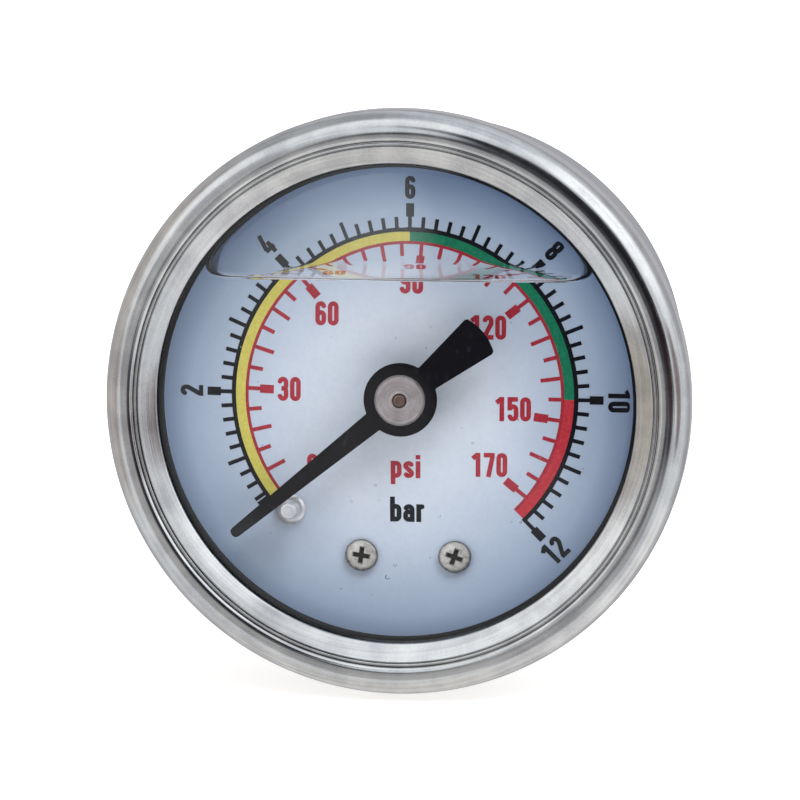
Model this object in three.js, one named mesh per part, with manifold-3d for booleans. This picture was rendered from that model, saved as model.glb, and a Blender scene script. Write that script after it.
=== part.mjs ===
// Liquid-filled Bourdon tube pressure gauge, 40 mm class, centre-back mount.
// Millimetres. The stem axis is Y: the dial faces -Y, the stem points +Y, and 12 o'clock is +Z.
// The origin is on the stem axis where the thread starts, at the rear face of the wrench square.
// Dial angles are clockwise from 12 o'clock as seen from the front, so they turn about +Y.
import * as THREE from "three";
import { mergeVertices } from "three/addons/utils/BufferGeometryUtils.js";
import Module from "manifold-3d";

const wasm = await Module();
wasm.setup();

// ---- driving dimensions -------------------------------------------------

const CASE = { radius: 19.8, wall: 0.6, rear: -8, corner: 2.6, rim: -29.6, flange: 20.75 };
const BEZEL = { radius: 21.5, crest: -34.1, lipRadius: 17.45, lipFront: -33.5 };
const WINDOW = { radius: 20.3, edgeFront: -33, thickness: 1.8, dome: 55, domeEdge: 17.45 };
const GASKET = { inner: 17.55, outer: 20.5, front: -31, rear: -30.3 };
const SPACER = { inner: 17.6, outer: 19.0, front: -30.15, rear: -25.1 };
const DIAL = { radius: 19.0, front: -25, thickness: 0.4, arborHole: 1.4 };
const THREAD = { length: 10, radius: 5.145, taper: 1 / 32, port: 1.5 };
const SQUARE = { acrossFlats: 11, corner: 7.6, front: -7.9 };
const SOCKET = { neck: 7.85, neckHole: 8.05, flange: 12.4, flangeRear: -9.45, flangeFront: -11.45 };
const SEAL = { inner: 8.3, outer: 9.5, rear: -8.65, front: -9.4 };
const BOSS = { radius: 7.5, front: -12.6 };
const BLOCK = { halfWidth: 3.6, low: -17.4, high: -12.7, front: -20.6 };
const BRACKET = { footFront: -21.35, barRear: -23.7, barFront: -24.5, screwX: 2.1, screwZ: -15.3 };
const TUBE = { radius: 15.6, width: 6, thickness: 1.9, wall: 0.3, middle: -16.3 };
const TUBE_ANGLES = { start: 181, end: 430 };
const BACK_PLATE = { rear: -12.65, front: -13.65 };
const FRONT_PLATE = { rear: -20.2, front: -21.2 };
const PILLARS = [
  ["left", -6.6, -9.1],
  ["right", 6, 3.2],
];
const MODULE = 0.2;
const PINION = { teeth: 10, rear: -14.8, front: -17.6 };
const SECTOR = { teeth: 80, rear: -15.8, front: -16.6, pivotX: 2, reach: [-24, 32] };
const TAIL = { length: 5, angle: 99 };
const LINK = { rear: -16.7, front: -17.2, halfWidth: 0.9 };
const TIP_PIVOT = { x: 10.4, z: 1.6 };
const POINTER = { rest: -129.4, rear: -27.35, front: -27.65, ring: 2.45, tip: 16.1, tail: 7.2 };
const HUB = { radius: 1.72, front: -28.3, neck: 1.1, rear: -26.5 };
const ARBOR = { radius: 0.4, pivot: 0.3, front: -28.35 };
const STOP = { angle: 224.7, distance: 11.4, radius: 0.6, front: -28.2 };
const DIAL_SCREWS = { z: -11.28, middle: 0.3, half: 3.29, head: 1.15 };
const CASE_SCREW_X = 10.9;
const PLUG_Z = 14.8;
const M16_SHANK = 0.7;
const HOLE_CLEARANCE = 0.12;
const ROUND = 44; // sides of the large rings

const STEEL = { color: 0xc9ccd0, roughness: 0.25, metalness: 1 };
const BRASS = { color: 0xc8a45a, roughness: 0.35, metalness: 1 };
const BRONZE = { color: 0xb07a45, roughness: 0.35, metalness: 1 };
const BLACK_PAINT = { color: 0x111214, roughness: 0.5, metalness: 0 };
const BLACK_RUBBER = { color: 0x161618, roughness: 0.8, metalness: 0 };
const DIAL_PAINT = { color: 0xe6eaf2, roughness: 0.6, metalness: 0 };
const CLEAR = { color: 0xf2f7fa, roughness: 0.05, metalness: 0 };

// ---- geometry helpers ---------------------------------------------------

const radians = (degrees) => THREE.MathUtils.degToRad(degrees);

// The point at a dial angle and a distance from a centre, as [x, z].
function polar(angle, distance, x = 0, z = 0) {
  return [x + distance * Math.sin(radians(angle)), z + distance * Math.cos(radians(angle))];
}

// A body of revolution about Y from [radius, y] points. An outline off the axis is closed on itself.
function lathe(outline, segments) {
  const points = outline.map(([r, y]) => new THREE.Vector2(r, y));
  if (THREE.ShapeUtils.area(points) < 0) points.reverse();
  if (points[0].x > 0) points.push(points[0].clone());
  return new THREE.LatheGeometry(points, segments);
}

// A plate parallel to the dial: a shape drawn in X and Z, from its rear face to its front face.
function plate(shape, rear, front, curveSegments = 6) {
  const settings = { depth: rear - front, bevelEnabled: false, curveSegments };
  return new THREE.ExtrudeGeometry(shape, settings).rotateX(Math.PI / 2).translate(0, rear, 0);
}

function ring(inner, outer, rear, front, segments) {
  return lathe([[inner, rear], [inner, front], [outer, front], [outer, rear]], segments);
}

function rod(radius, rear, front, x = 0, z = 0, segments = 12) {
  const middle = (rear + front) / 2;
  return new THREE.CylinderGeometry(radius, radius, rear - front, segments).translate(x, middle, z);
}

function block(x0, x1, y0, y1, z0, z1) {
  const box = new THREE.BoxGeometry(x1 - x0, y1 - y0, z1 - z0);
  return box.translate((x0 + x1) / 2, (y0 + y1) / 2, (z0 + z1) / 2);
}

function circle(x, z, radius) {
  return new THREE.Path().absarc(x, z, radius, 0, 2 * Math.PI, true);
}

// Outlines run anticlockwise, because the holes run clockwise.
function polygon(points) {
  const corners = points.map(([x, z]) => new THREE.Vector2(x, z));
  if (THREE.ShapeUtils.isClockWise(corners)) corners.reverse();
  return new THREE.Shape(corners);
}

function withHoles(shape, holes) {
  shape.holes.push(...holes.map(([x, z, radius]) => circle(x, z, radius)));
  return shape;
}

function toSolid(geometry) {
  const bare = geometry.clone().deleteAttribute("normal").deleteAttribute("uv");
  const merged = mergeVertices(bare, 1e-4);
  return new wasm.Manifold(
    new wasm.Mesh({
      numProp: 3,
      vertProperties: new Float32Array(merged.attributes.position.array),
      triVerts: new Uint32Array(merged.index.array),
    }),
  );
}

function fromSolid(solid) {
  const { vertProperties, triVerts } = solid.getMesh();
  const geometry = new THREE.BufferGeometry();
  geometry.setAttribute("position", new THREE.BufferAttribute(vertProperties, 3));
  geometry.setIndex(new THREE.BufferAttribute(triVerts, 1));
  geometry.computeVertexNormals();
  return geometry;
}

function cut(geometry, ...tools) {
  return fromSolid(tools.reduce((solid, tool) => solid.subtract(toSolid(tool)), toSolid(geometry)));
}

function join(geometry, ...more) {
  return fromSolid(more.reduce((solid, piece) => solid.add(toSolid(piece)), toSolid(geometry)));
}

function common(geometry, other) {
  return fromSolid(toSolid(geometry).intersect(toSolid(other)));
}

// A pan-head screw whose head is in front of seat (facing = -1) or behind it (facing = 1).
function panScrew(x, z, seat, facing, head, headHeight, shank, shankLength) {
  const top = seat + facing * headHeight;
  const outline = [
    [0, seat - facing * shankLength],
    [shank, seat - facing * shankLength],
    [shank, seat],
    [head, seat],
    [head, seat + facing * headHeight * 0.45],
    [head * 0.72, seat + facing * headHeight * 0.88],
    [0, top],
  ];
  const slot = head * 0.62;
  const width = head * 0.15;
  const depth = headHeight * 0.55;
  const [low, high] = [top - facing * depth, top + facing].sort((a, b) => a - b);
  const across = block(-slot, slot, low, high, -width, width);
  const upright = block(-width, width, low, high, -slot, slot);
  return cut(lathe(outline, 12), across, upright).translate(x, 0, z);
}

// ---- case, bezel, window ------------------------------------------------

function caseCup() {
  const { radius, wall, rear, corner, rim, flange } = CASE;
  const outer = [];
  const inner = [];
  for (const step of [0, 1, 2]) {
    const angle = (step * Math.PI) / 4;
    const [sin, cos] = [Math.sin(angle), Math.cos(angle)];
    outer.push([radius - corner + corner * sin, rear - corner + corner * cos]);
    inner.push([radius - corner + (corner - wall) * sin, rear - corner + (corner - wall) * cos]);
  }
  const front = rim - wall;
  const mouth = [[radius, rim], [flange, rim], [flange, front], [radius - wall, front]];
  const outline = [[0, rear], ...outer, ...mouth, ...inner.reverse(), [0, rear - wall]];
  const punches = [
    rod(SOCKET.neckHole, rear + 1, rear - 1, 0, 0, 32),
    rod(1.7, rear + 1, rear - 1, 0, PLUG_Z),
    rod(1.15, rear + 1, rear - 1, CASE_SCREW_X, 0),
    rod(1.15, rear + 1, rear - 1, -CASE_SCREW_X, 0),
  ];
  return cut(lathe(outline, ROUND), ...punches);
}

function bezelRing() {
  const { radius, crest, lipRadius, lipFront } = BEZEL;
  const outside = [
    [20.15, -29.0], [21.1, -28.9], [radius, -29.9], [radius, -31.4],
    [21.3, -32.75], [20.6, -33.85], [19.95, crest], [19.5, -33.92],
    [19.23, -33.62], [18.95, -33.82], [lipRadius, lipFront],
  ];
  const inside = [
    [lipRadius, -33.1], [19.6, -33.1], [20.1, -33.5], [20.9, -32.5],
    [21.0, -29.9], [20.85, -29.5], [20.2, -29.48],
  ];
  return lathe([...outside, ...inside], ROUND);
}

function domedWindow() {
  const { radius, edgeFront, thickness, dome, domeEdge } = WINDOW;
  const centre = edgeFront + Math.sqrt(dome * dome - domeEdge * domeEdge);
  const arc = (sphere) => [3, 2, 1, 0].map((step) => {
    const r = (domeEdge * step) / 3;
    return [r, centre - Math.sqrt(sphere * sphere - r * r)];
  });
  const rear = edgeFront + thickness;
  const front = [[radius, rear], [radius, edgeFront], ...arc(dome)];
  return lathe([...front, ...arc(dome - thickness).reverse()], ROUND);
}

function windowGasket() {
  return ring(GASKET.inner, GASKET.outer, GASKET.rear, GASKET.front, ROUND);
}

function dialSpacer() {
  return ring(SPACER.inner, SPACER.outer, SPACER.rear, SPACER.front, ROUND);
}

// ---- dial and what is fixed on it ---------------------------------------

const dialScrewPlaces = [
  ["left", DIAL_SCREWS.middle - DIAL_SCREWS.half],
  ["right", DIAL_SCREWS.middle + DIAL_SCREWS.half],
];
const stopPlace = polar(STOP.angle, STOP.distance);

function dialPlate() {
  const [rear, front] = [DIAL.front + DIAL.thickness, DIAL.front];
  const hole = (radius, x, z) => rod(radius, rear + 1, front - 1, x, z, 12);
  const screwHoles = dialScrewPlaces.map(([, x]) => hole(M16_SHANK + HOLE_CLEARANCE, x, DIAL_SCREWS.z));
  const disc = rod(DIAL.radius, rear, front, 0, 0, ROUND);
  return cut(disc, hole(DIAL.arborHole, 0, 0), hole(0.65, ...stopPlace), ...screwHoles);
}

function stopPin() {
  const collar = DIAL.front - 0.02;
  const outline = [
    [0, -24.1], [0.5, -24.1], [0.5, collar], [1.15, collar], [1.15, collar - 0.35],
    [0.95, collar - 0.55], [STOP.radius, collar - 0.6], [STOP.radius, STOP.front + 0.2],
    [STOP.radius - 0.2, STOP.front], [0, STOP.front],
  ];
  return lathe(outline, 16).translate(stopPlace[0], 0, stopPlace[1]);
}

function dialScrew(x) {
  return panScrew(x, DIAL_SCREWS.z, DIAL.front - 0.02, -1, DIAL_SCREWS.head, 0.65, M16_SHANK, 1.5);
}

// A Z-shaped strip: a foot on the tube block, a leg forward, and a bar behind the dial.
function dialBracket() {
  const { footFront, barRear, barFront, screwX, screwZ } = BRACKET;
  const legLow = BLOCK.high - 0.9;
  const legHigh = BLOCK.high - 0.2;
  const foot = block(-3.2, 3.4, footFront, BLOCK.front - 0.05, -17, legHigh);
  const leg = block(-3.2, 3.4, barFront, footFront + 0.3, legLow, legHigh);
  const bar = block(-5.4, 6, barFront, barRear, legLow, -9.9);
  const holes = dialScrewPlaces.map(([, x]) => [x, DIAL_SCREWS.z, M16_SHANK + HOLE_CLEARANCE]);
  holes.push([screwX, screwZ, 0.95]);
  const drills = holes.map(([x, z, radius]) => rod(radius, BLOCK.front + 1, barFront - 1, x, z));
  return cut(join(foot, leg, bar), ...drills);
}

function bracketScrew() {
  return panScrew(BRACKET.screwX, BRACKET.screwZ, BRACKET.footFront - 0.03, -1, 1.35, 0.8, 0.8, 3);
}

// ---- socket: thread, wrench square, flange, boss and tube block ---------

function socketBody() {
  const { length, radius, taper, port } = THREAD;
  const narrow = radius - length * taper;
  const undercut = radius - 0.5;
  const stem = lathe(
    [
      [0, -1], [undercut, -1], [undercut, 0.9], [radius, 1.4],
      [narrow, length - 0.8], [narrow - 0.6, length], [0, length],
    ],
    32,
  );
  const half = SQUARE.acrossFlats / 2;
  const inNeck = SQUARE.front - 0.5;
  const cornerTurned = lathe(
    [[0, inNeck], [SQUARE.corner, inNeck], [SQUARE.corner, -0.6], [SQUARE.corner - 0.8, 0], [0, 0]],
    32,
  );
  const square = common(block(-half, half, inNeck, 0, -half, half), cornerTurned);
  const neck = rod(SOCKET.neck, SQUARE.front, SOCKET.flangeFront, 0, 0, 32);
  const flange = rod(SOCKET.flange, SOCKET.flangeRear, SOCKET.flangeFront, 0, 0, 40);
  const boss = rod(BOSS.radius, SOCKET.flangeRear, BOSS.front, 0, 0, 32);
  const { halfWidth, low, high, front } = BLOCK;
  const columnRear = SOCKET.flangeRear - 0.15;
  const column = block(-halfWidth, halfWidth, front, columnRear, low, high);
  const web = block(-halfWidth, halfWidth, BOSS.front, columnRear, high - 0.5, -6);
  return cut(join(stem, square, neck, flange, boss, column, web), ...socketBores(port, columnRear));
}

// The pressure passage from the port to the tube, the tube's pocket, and the screw holes.
function socketBores(port, columnRear) {
  const passage = columnRear - 0.9;
  const pocketWide = TUBE.width / 2 + 0.25;
  const pocketThick = TUBE.thickness / 2 + 0.45;
  const pocketMiddle = 0.3 - TUBE.radius;
  const pocket = block(
    -BLOCK.halfWidth - 1, 0.6,
    TUBE.middle - pocketWide, TUBE.middle + pocketWide,
    pocketMiddle - pocketThick, pocketMiddle + pocketThick,
  );
  const down = rod(0.8, 1, pocketMiddle - 0.5, 0, 0, 10).rotateX(Math.PI / 2).translate(0, passage, 0);
  return [
    rod(port, THREAD.length + 1, passage - 0.8, 0, 0, 16),
    down,
    rod(0.8, passage, TUBE.middle, 0, pocketMiddle, 10),
    pocket,
    rod(0.95, -17, BLOCK.front - 1, BRACKET.screwX, BRACKET.screwZ),
    ...[-1, 1].map((side) => rod(1.05, -9, -12, side * CASE_SCREW_X, 0)),
    ...movementScrewPlaces.map(([, x, z]) => rod(0.85, -10.7, -13, x, z)),
  ];
}

function restrictorScrew() {
  const outline = [[0.3, 6], [0.3, 9.2], [1.36, 9.2], [1.36, 6]];
  return cut(lathe(outline, 16), block(-2, 2, 8.6, 10, -0.25, 0.25));
}

// ---- movement -----------------------------------------------------------

const pinionRadius = (MODULE * PINION.teeth) / 2;
const sectorRadius = (MODULE * SECTOR.teeth) / 2;
const centreDistance = pinionRadius + sectorRadius;
const sectorPivot = [SECTOR.pivotX, -Math.sqrt(centreDistance ** 2 - SECTOR.pivotX ** 2)];
const meshAngle = THREE.MathUtils.radToDeg(Math.atan2(-sectorPivot[0], -sectorPivot[1]));
const tailPivot = polar(TAIL.angle, TAIL.length, ...sectorPivot);
const tipPivot = [TIP_PIVOT.x, TIP_PIVOT.z];
const movementScrewPlaces = [
  ["left", -5.2, -2.2],
  ["right", 5.2, -2.2],
];

// Points of one tooth, from its root to its tip and back, about a centre angle.
function tooth(centreAngle, pitchRadius, x = 0, z = 0) {
  const step = THREE.MathUtils.radToDeg((Math.PI * MODULE) / pitchRadius);
  const root = pitchRadius - 1.25 * MODULE;
  const top = pitchRadius + 0.85 * MODULE;
  const rise = [[-0.25, root], [-0.19, pitchRadius], [-0.09, top]];
  const fall = [[0.09, top], [0.19, pitchRadius], [0.25, root]];
  return [...rise, ...fall].map(([share, radius]) => polar(centreAngle + share * step, radius, x, z));
}

function movementPlate(rear, front, arborHole, screwRadius) {
  const outline = polygon([
    [-8.2, -11], [4.6, -11.2], [5, -6.4], [8, 1.6], [7.9, 4.9], [2.6, 5.2], [-3.4, 3.2],
    [-6.9, -0.6], [-8.2, -6.4],
  ]);
  const pivots = [[0, 0, arborHole], [...sectorPivot, 0.36]];
  const pillarHoles = PILLARS.map(([, x, z]) => [x, z, 0.72]);
  const screwHoles = screwRadius ? movementScrewPlaces.map(([, x, z]) => [x, z, screwRadius]) : [];
  return plate(withHoles(outline, [...pivots, ...pillarHoles, ...screwHoles]), rear, front, 5);
}

function pillar(x, z) {
  const rear = BACK_PLATE.front - 0.05;
  const front = FRONT_PLATE.rear + 0.05;
  const outline = [
    [0, rear + 0.85], [0.6, rear + 0.85], [0.6, rear], [1.1, rear], [1.1, front],
    [0.62, front], [0.62, front + 1.8], [0, front + 1.8],
  ];
  return lathe(outline, 14).translate(x, 0, z);
}

function pillarScrew(x, z) {
  return panScrew(x, z, FRONT_PLATE.front - 0.03, -1, 1.15, 0.6, 0.52, 2.5);
}

function movementScrew(x, z) {
  return panScrew(x, z, BACK_PLATE.front - 0.03, -1, 1.35, 0.75, 0.75, 2.6);
}

function pinionArbor() {
  const { radius, pivot, front } = ARBOR;
  const rear = BACK_PLATE.rear - 0.05;
  const shoulder = BACK_PLATE.front - 0.15;
  const shaft = lathe(
    [
      [0, rear], [pivot, rear], [pivot, shoulder], [radius, shoulder], [radius, front], [0, front],
    ],
    16,
  );
  const outline = [];
  for (let i = 0; i < PINION.teeth; i++) {
    outline.push(...tooth(meshAngle + 180 + (i * 360) / PINION.teeth, pinionRadius));
  }
  return join(shaft, plate(polygon(outline), PINION.rear, PINION.front));
}

function sectorGear() {
  const pitch = 360 / SECTOR.teeth;
  const [low, high] = SECTOR.reach;
  const first = Math.ceil((low - meshAngle) / pitch) + 0.5;
  const last = Math.floor((high - meshAngle) / pitch) - 0.5;
  const outline = [];
  for (let i = first; i <= last; i++) {
    outline.push(...tooth(meshAngle + i * pitch, sectorRadius, ...sectorPivot));
  }
  const rimStart = meshAngle + (first - 0.5) * pitch;
  const rimEnd = meshAngle + (last + 0.5) * pitch;
  const web = [
    [rimEnd, 6.4], [20, 2.2], [TAIL.angle - 14, TAIL.length + 0.5], [TAIL.angle, TAIL.length + 1],
    [TAIL.angle + 14, TAIL.length + 0.5], [165, 1.7], [220, 1.7], [280, 1.7], [rimStart, 6.4],
  ];
  outline.push(...web.map(([angle, distance]) => polar(angle, distance, ...sectorPivot)));
  const holes = [[...sectorPivot, 0.55], [...tailPivot, 0.42]];
  return plate(withHoles(polygon(outline), holes), SECTOR.rear, SECTOR.front);
}

function sectorArbor() {
  const [rear, front] = [BACK_PLATE.rear - 0.05, FRONT_PLATE.front + 0.05];
  const rearShoulder = BACK_PLATE.front - 0.15;
  const frontShoulder = FRONT_PLATE.rear + 0.15;
  const seat = SECTOR.rear + 0.03;
  const pivot = ARBOR.pivot;
  const outline = [
    [0, rear], [pivot, rear], [pivot, rearShoulder], [0.9, rearShoulder], [0.9, seat], [0.5, seat],
    [0.5, frontShoulder], [pivot, frontShoulder], [pivot, front], [0, front],
  ];
  return lathe(outline, 14).translate(sectorPivot[0], 0, sectorPivot[1]);
}

// A flat bar with round ends about two points.
function barShape(from, to, halfWidth) {
  const heading = Math.atan2(to[1] - from[1], to[0] - from[0]);
  return new THREE.Shape()
    .absarc(...from, halfWidth, heading + Math.PI / 2, heading + 1.5 * Math.PI, false)
    .absarc(...to, halfWidth, heading - Math.PI / 2, heading + Math.PI / 2, false);
}

function linkBar() {
  const shape = barShape(tailPivot, tipPivot, LINK.halfWidth);
  return plate(withHoles(shape, [[...tailPivot, 0.56], [...tipPivot, 0.44]]), LINK.rear, LINK.front);
}

function linkScrew([x, z]) {
  return panScrew(x, z, LINK.front - 0.06, -1, 0.85, 0.45, 0.38, LINK.rear - LINK.front + 0.8);
}

// A ribbon wound in an Archimedean spiral from the collet out to the stud.
function hairspring() {
  const turns = 4.5;
  const steps = 48;
  const [inner, outer, half] = [1.05, 3.3, 0.06];
  const side = (offset) => Array.from({ length: steps + 1 }, (_, i) => {
    const share = i / steps;
    return polar(90 + share * turns * 360, inner + (outer - inner) * share + offset);
  });
  return plate(polygon([...side(half), ...side(-half).reverse()]), -18.8, -19.2);
}

function collet() {
  return ring(0.45, 0.92, -18.6, -19.4, 14);
}

function hairspringStud() {
  const [x, z] = polar(278, 3.3);
  const post = rod(0.32, -18.7, FRONT_PLATE.rear + 0.03, x - 0.5, z, 10);
  return join(post, block(x - 0.9, x - 0.12, -19.35, -18.65, z - 0.3, z + 0.3));
}

// ---- Bourdon tube -------------------------------------------------------

class DialArc extends THREE.Curve {
  getPoint(share, target = new THREE.Vector3()) {
    const { start, end } = TUBE_ANGLES;
    const [x, z] = polar(start + (end - start) * share, TUBE.radius);
    return target.set(x, TUBE.middle, z);
  }
}

// A flattened tube section: two flats joined by round ends.
function flatOval(width, thickness, Kind) {
  const radius = thickness / 2;
  const reach = width / 2 - radius;
  return new Kind()
    .absarc(reach, 0, radius, -Math.PI / 2, Math.PI / 2, false)
    .absarc(-reach, 0, radius, Math.PI / 2, (3 * Math.PI) / 2, false);
}

function bourdonTube() {
  const { width, thickness, wall } = TUBE;
  const section = flatOval(width, thickness, THREE.Shape);
  section.holes.push(flatOval(width - 2 * wall, thickness - 2 * wall, THREE.Path));
  return new THREE.ExtrudeGeometry(section, { steps: 32, extrudePath: new DialArc(), curveSegments: 2 });
}

// The plug in the tube's free end, with a tongue that carries the link pin.
function tubeTip() {
  const { end } = TUBE_ANGLES;
  const { radius, width, thickness, wall, middle } = TUBE;
  const plugWide = width / 2 - wall - 0.6;
  const plugThick = thickness / 2 - wall - 0.12;
  const capWide = width / 2 + 0.1;
  const capThick = thickness / 2 + 0.2;
  const spigot = block(-1.2, 0.3, -plugWide, plugWide, -plugThick, plugThick);
  const cap = block(0.15, 1.5, -capWide, capWide, -capThick, capThick);
  const [x, z] = polar(end, radius);
  const plug = join(spigot, cap).rotateY(radians(end)).translate(x, middle, z);
  const tongue = withHoles(barShape(tipPivot, polar(end + 2.9, radius), 0.95), [[...tipPivot, 0.42]]);
  return join(plug, plate(tongue, SECTOR.rear, SECTOR.front));
}

// ---- pointer ------------------------------------------------------------

function pointerBlade() {
  const { ring: ringRadius, tip, tail, rear, front } = POINTER;
  const shape = new THREE.Shape();
  shape.moveTo(-0.8, 2.2);
  shape.lineTo(-0.38, tip - 0.38);
  shape.absarc(0, tip - 0.38, 0.38, Math.PI, 0, true);
  shape.lineTo(0.8, 2.2);
  shape.lineTo(0.88, -2.2);
  shape.lineTo(1.5, -tail + 0.75);
  shape.quadraticCurveTo(1.6, -tail + 0.32, 1.2, -tail + 0.2);
  shape.quadraticCurveTo(0, -tail - 0.15, -1.2, -tail + 0.2);
  shape.quadraticCurveTo(-1.6, -tail + 0.32, -1.5, -tail + 0.75);
  shape.lineTo(-0.88, -2.2);
  const blade = join(plate(shape, rear, front, 6), rod(ringRadius, rear, front, 0, 0, 32));
  return cut(blade, rod(HUB.neck + 0.06, rear + 1, front - 1, 0, 0, 20)).rotateY(radians(POINTER.rest));
}

function pointerHub() {
  const { radius, front, neck, rear } = HUB;
  const seat = POINTER.front - 0.03;
  const bore = ARBOR.radius + 0.06;
  const outline = [
    [bore, rear], [neck, rear], [neck, seat], [radius, seat], [radius, front + 0.25],
    [radius - 0.25, front], [0.6, front], [bore, front + 0.2],
  ];
  return lathe(outline, 18);
}

// ---- rear fasteners and plug --------------------------------------------

function caseScrew(side) {
  return panScrew(side * CASE_SCREW_X, 0, CASE.rear + 0.03, 1, 1.75, 1.1, 0.95, 3.2);
}

function fillerPlug() {
  const { rear, wall } = CASE;
  const outline = [
    [0, rear + 1], [1.4, rear + 1], [2.1, rear + 0.6], [2.1, rear + 0.05], [1.55, rear + 0.05],
    [1.55, rear - wall - 0.05], [1.8, rear - wall - 0.1], [1.3, -10.4], [0, -10.4],
  ];
  return lathe(outline, 18).translate(0, 0, PLUG_Z);
}

// ---- assembly -----------------------------------------------------------

const gauge = new THREE.Group();

function add(name, geometry, finish) {
  const mesh = new THREE.Mesh(geometry, new THREE.MeshStandardMaterial(finish));
  mesh.name = name;
  gauge.add(mesh);
}

add("case_cup", caseCup(), STEEL);
add("bezel_ring", bezelRing(), STEEL);
add("window", domedWindow(), CLEAR);
add("window_gasket", windowGasket(), BLACK_RUBBER);
add("dial_spacer_ring", dialSpacer(), BLACK_RUBBER);
add("dial_plate", dialPlate(), DIAL_PAINT);
add("stop_pin", stopPin(), STEEL);
for (const [side, x] of dialScrewPlaces) add("dial_screw_" + side, dialScrew(x), STEEL);
add("dial_bracket", dialBracket(), BRASS);
add("bracket_screw", bracketScrew(), STEEL);
add("socket", socketBody(), BRASS);
add("socket_seal", ring(SEAL.inner, SEAL.outer, SEAL.rear, SEAL.front, 32), BLACK_RUBBER);
add("restrictor_screw", restrictorScrew(), BRASS);
add("case_screw_left", caseScrew(-1), STEEL);
add("case_screw_right", caseScrew(1), STEEL);
add("filler_plug", fillerPlug(), BLACK_RUBBER);
add("movement_back_plate", movementPlate(BACK_PLATE.rear, BACK_PLATE.front, 0.36, 0.85), BRASS);
add("movement_front_plate", movementPlate(FRONT_PLATE.rear, FRONT_PLATE.front, 0.46, 0), BRASS);
for (const [side, x, z] of PILLARS) {
  add("pillar_" + side, pillar(x, z), BRASS);
  add("pillar_screw_" + side, pillarScrew(x, z), STEEL);
}
for (const [side, x, z] of movementScrewPlaces) add("movement_screw_" + side, movementScrew(x, z), STEEL);
add("pinion_arbor", pinionArbor(), BRASS);
add("sector_gear", sectorGear(), BRASS);
add("sector_arbor", sectorArbor(), STEEL);
add("link_bar", linkBar(), BRASS);
add("link_screw_tail", linkScrew(tailPivot), STEEL);
add("link_screw_tip", linkScrew(tipPivot), STEEL);
add("hairspring", hairspring(), BRONZE);
add("hairspring_collet", collet(), BRASS);
add("hairspring_stud", hairspringStud(), BRASS);
add("bourdon_tube", bourdonTube(), BRONZE);
add("tube_tip", tubeTip(), BRASS);
add("pointer", pointerBlade(), BLACK_PAINT);
add("pointer_hub", pointerHub(), STEEL);

export default gauge;
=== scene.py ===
"""Looks of a liquid-filled pressure gauge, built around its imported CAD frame.

Shapes are worked out in millimetres in the row frame: +Y runs out along the stem, the dial faces -Y
and +Z points to 12 o'clock. Dial angles are in degrees clockwise from 12 o'clock.
"""

import math
import random

import bmesh
import bpy
import numpy as np
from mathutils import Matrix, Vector
from mathutils.geometry import delaunay_2d_cdt


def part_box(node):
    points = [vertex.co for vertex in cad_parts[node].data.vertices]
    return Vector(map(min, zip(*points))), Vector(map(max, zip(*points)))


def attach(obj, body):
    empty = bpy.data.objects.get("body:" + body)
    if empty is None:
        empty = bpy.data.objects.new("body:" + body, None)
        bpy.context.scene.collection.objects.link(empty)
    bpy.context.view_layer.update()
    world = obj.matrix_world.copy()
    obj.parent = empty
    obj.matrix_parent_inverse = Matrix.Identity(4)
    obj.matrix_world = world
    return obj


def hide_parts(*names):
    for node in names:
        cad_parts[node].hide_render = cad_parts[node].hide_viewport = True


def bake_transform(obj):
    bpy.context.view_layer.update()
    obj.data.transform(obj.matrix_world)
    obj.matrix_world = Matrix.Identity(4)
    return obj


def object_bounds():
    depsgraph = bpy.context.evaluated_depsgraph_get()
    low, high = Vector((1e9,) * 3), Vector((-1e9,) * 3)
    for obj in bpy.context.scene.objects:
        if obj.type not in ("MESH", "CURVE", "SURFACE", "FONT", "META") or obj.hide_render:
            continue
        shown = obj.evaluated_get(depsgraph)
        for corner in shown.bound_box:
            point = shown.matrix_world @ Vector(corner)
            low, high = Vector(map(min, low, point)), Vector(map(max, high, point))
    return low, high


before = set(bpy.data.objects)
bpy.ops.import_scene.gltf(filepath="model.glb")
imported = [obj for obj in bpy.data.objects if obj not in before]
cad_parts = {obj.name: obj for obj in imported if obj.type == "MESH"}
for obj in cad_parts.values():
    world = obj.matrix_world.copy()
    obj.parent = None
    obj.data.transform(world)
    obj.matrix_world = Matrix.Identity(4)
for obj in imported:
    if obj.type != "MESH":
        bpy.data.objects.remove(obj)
CAD_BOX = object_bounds()

MM = 0.001
ROUND = 256
SHARP_ANGLE = 32
TOUCH = 0.01


def box_mm(node):
    low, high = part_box(node)
    return np.array(low) / MM, np.array(high) / MM


def centre_mm(node):
    low, high = box_mm(node)
    return (low[0] + high[0]) / 2, (low[2] + high[2]) / 2


def radius_mm(node):
    low, high = box_mm(node)
    return (high[0] - low[0]) / 2


def depths_mm(node):
    """Where a node starts and ends along Y, front first."""
    low, high = box_mm(node)
    return low[1], high[1]


def front_mm(node):
    return depths_mm(node)[0]


def rear_mm(node):
    return depths_mm(node)[1]


# Faces and radii that the frame gives.
BEZEL_RADIUS = radius_mm("bezel_ring")
BEZEL_CREST = front_mm("bezel_ring")
CASE_RADIUS = radius_mm("case_cup")
DIAL_FRONT = front_mm("dial_plate")
DIAL_RADIUS = radius_mm("dial_plate")
WINDOW_APEX, WINDOW_REAR = depths_mm("window")
WINDOW_RADIUS = radius_mm("window")
STEM_END = rear_mm("socket")

# The bezel's opening and the domed window behind it.
LIP_RADIUS = 17.54
LIP_FRONT = -33.25
WINDOW_EDGE_FRONT = -33.0
GASKET_BORE = 17.05
SPACER_BORE = 17.6
DOME_RADIUS = 55.0
WINDOW_THICKNESS = 1.8
DOME_CENTRE = WINDOW_APEX + DOME_RADIUS
DOME_INNER = DOME_RADIUS - WINDOW_THICKNESS

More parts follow.
